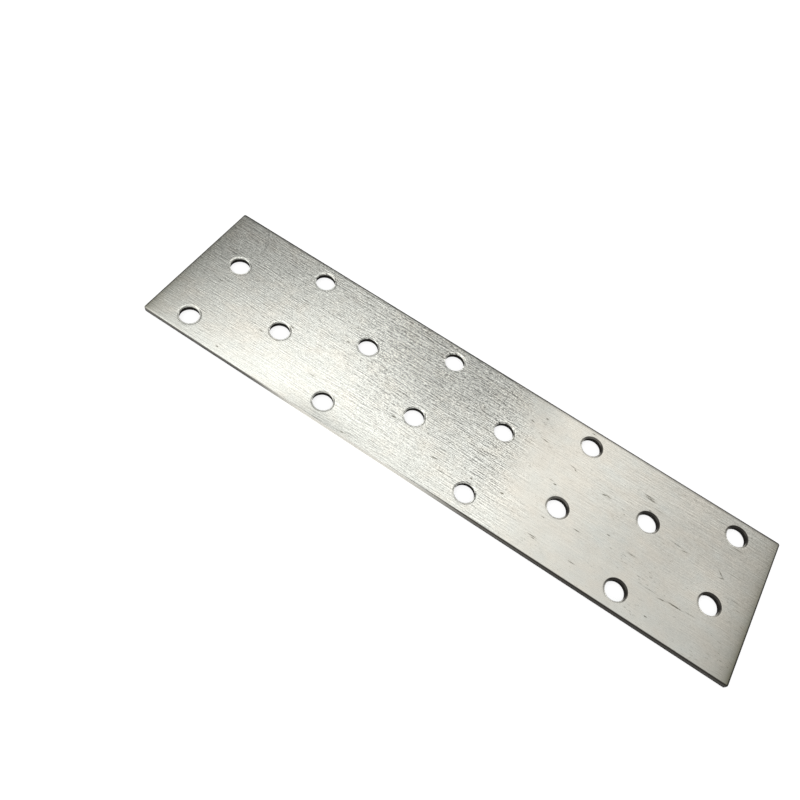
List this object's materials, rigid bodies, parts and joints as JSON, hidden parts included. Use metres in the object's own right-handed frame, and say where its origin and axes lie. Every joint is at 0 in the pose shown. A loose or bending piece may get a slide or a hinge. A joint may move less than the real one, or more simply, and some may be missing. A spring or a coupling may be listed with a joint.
{
  "type": "mending plate",
  "caption": "Flat rectangular sheet steel plate with staggered rows of punched nail holes, for joining two timbers end to end.",
  "frame": {"origin": "middle of the underside, the face that seats on the timber", "axes": "+X along the plate, +Y across it towards the row of holes 5 mm from that side at the +X end, +Z out of the face that the holes were punched from"},
  "size_m": [0.16, 0.04, 0.0015],
  "materials": {
    "zinc_plated_steel": "zinc plated sheet with a fine rolled grain along the length, satin"
  },
  "bodies": {
    "root": {"mending_plate": "zinc_plated_steel"}
  },
  "joints": []
}
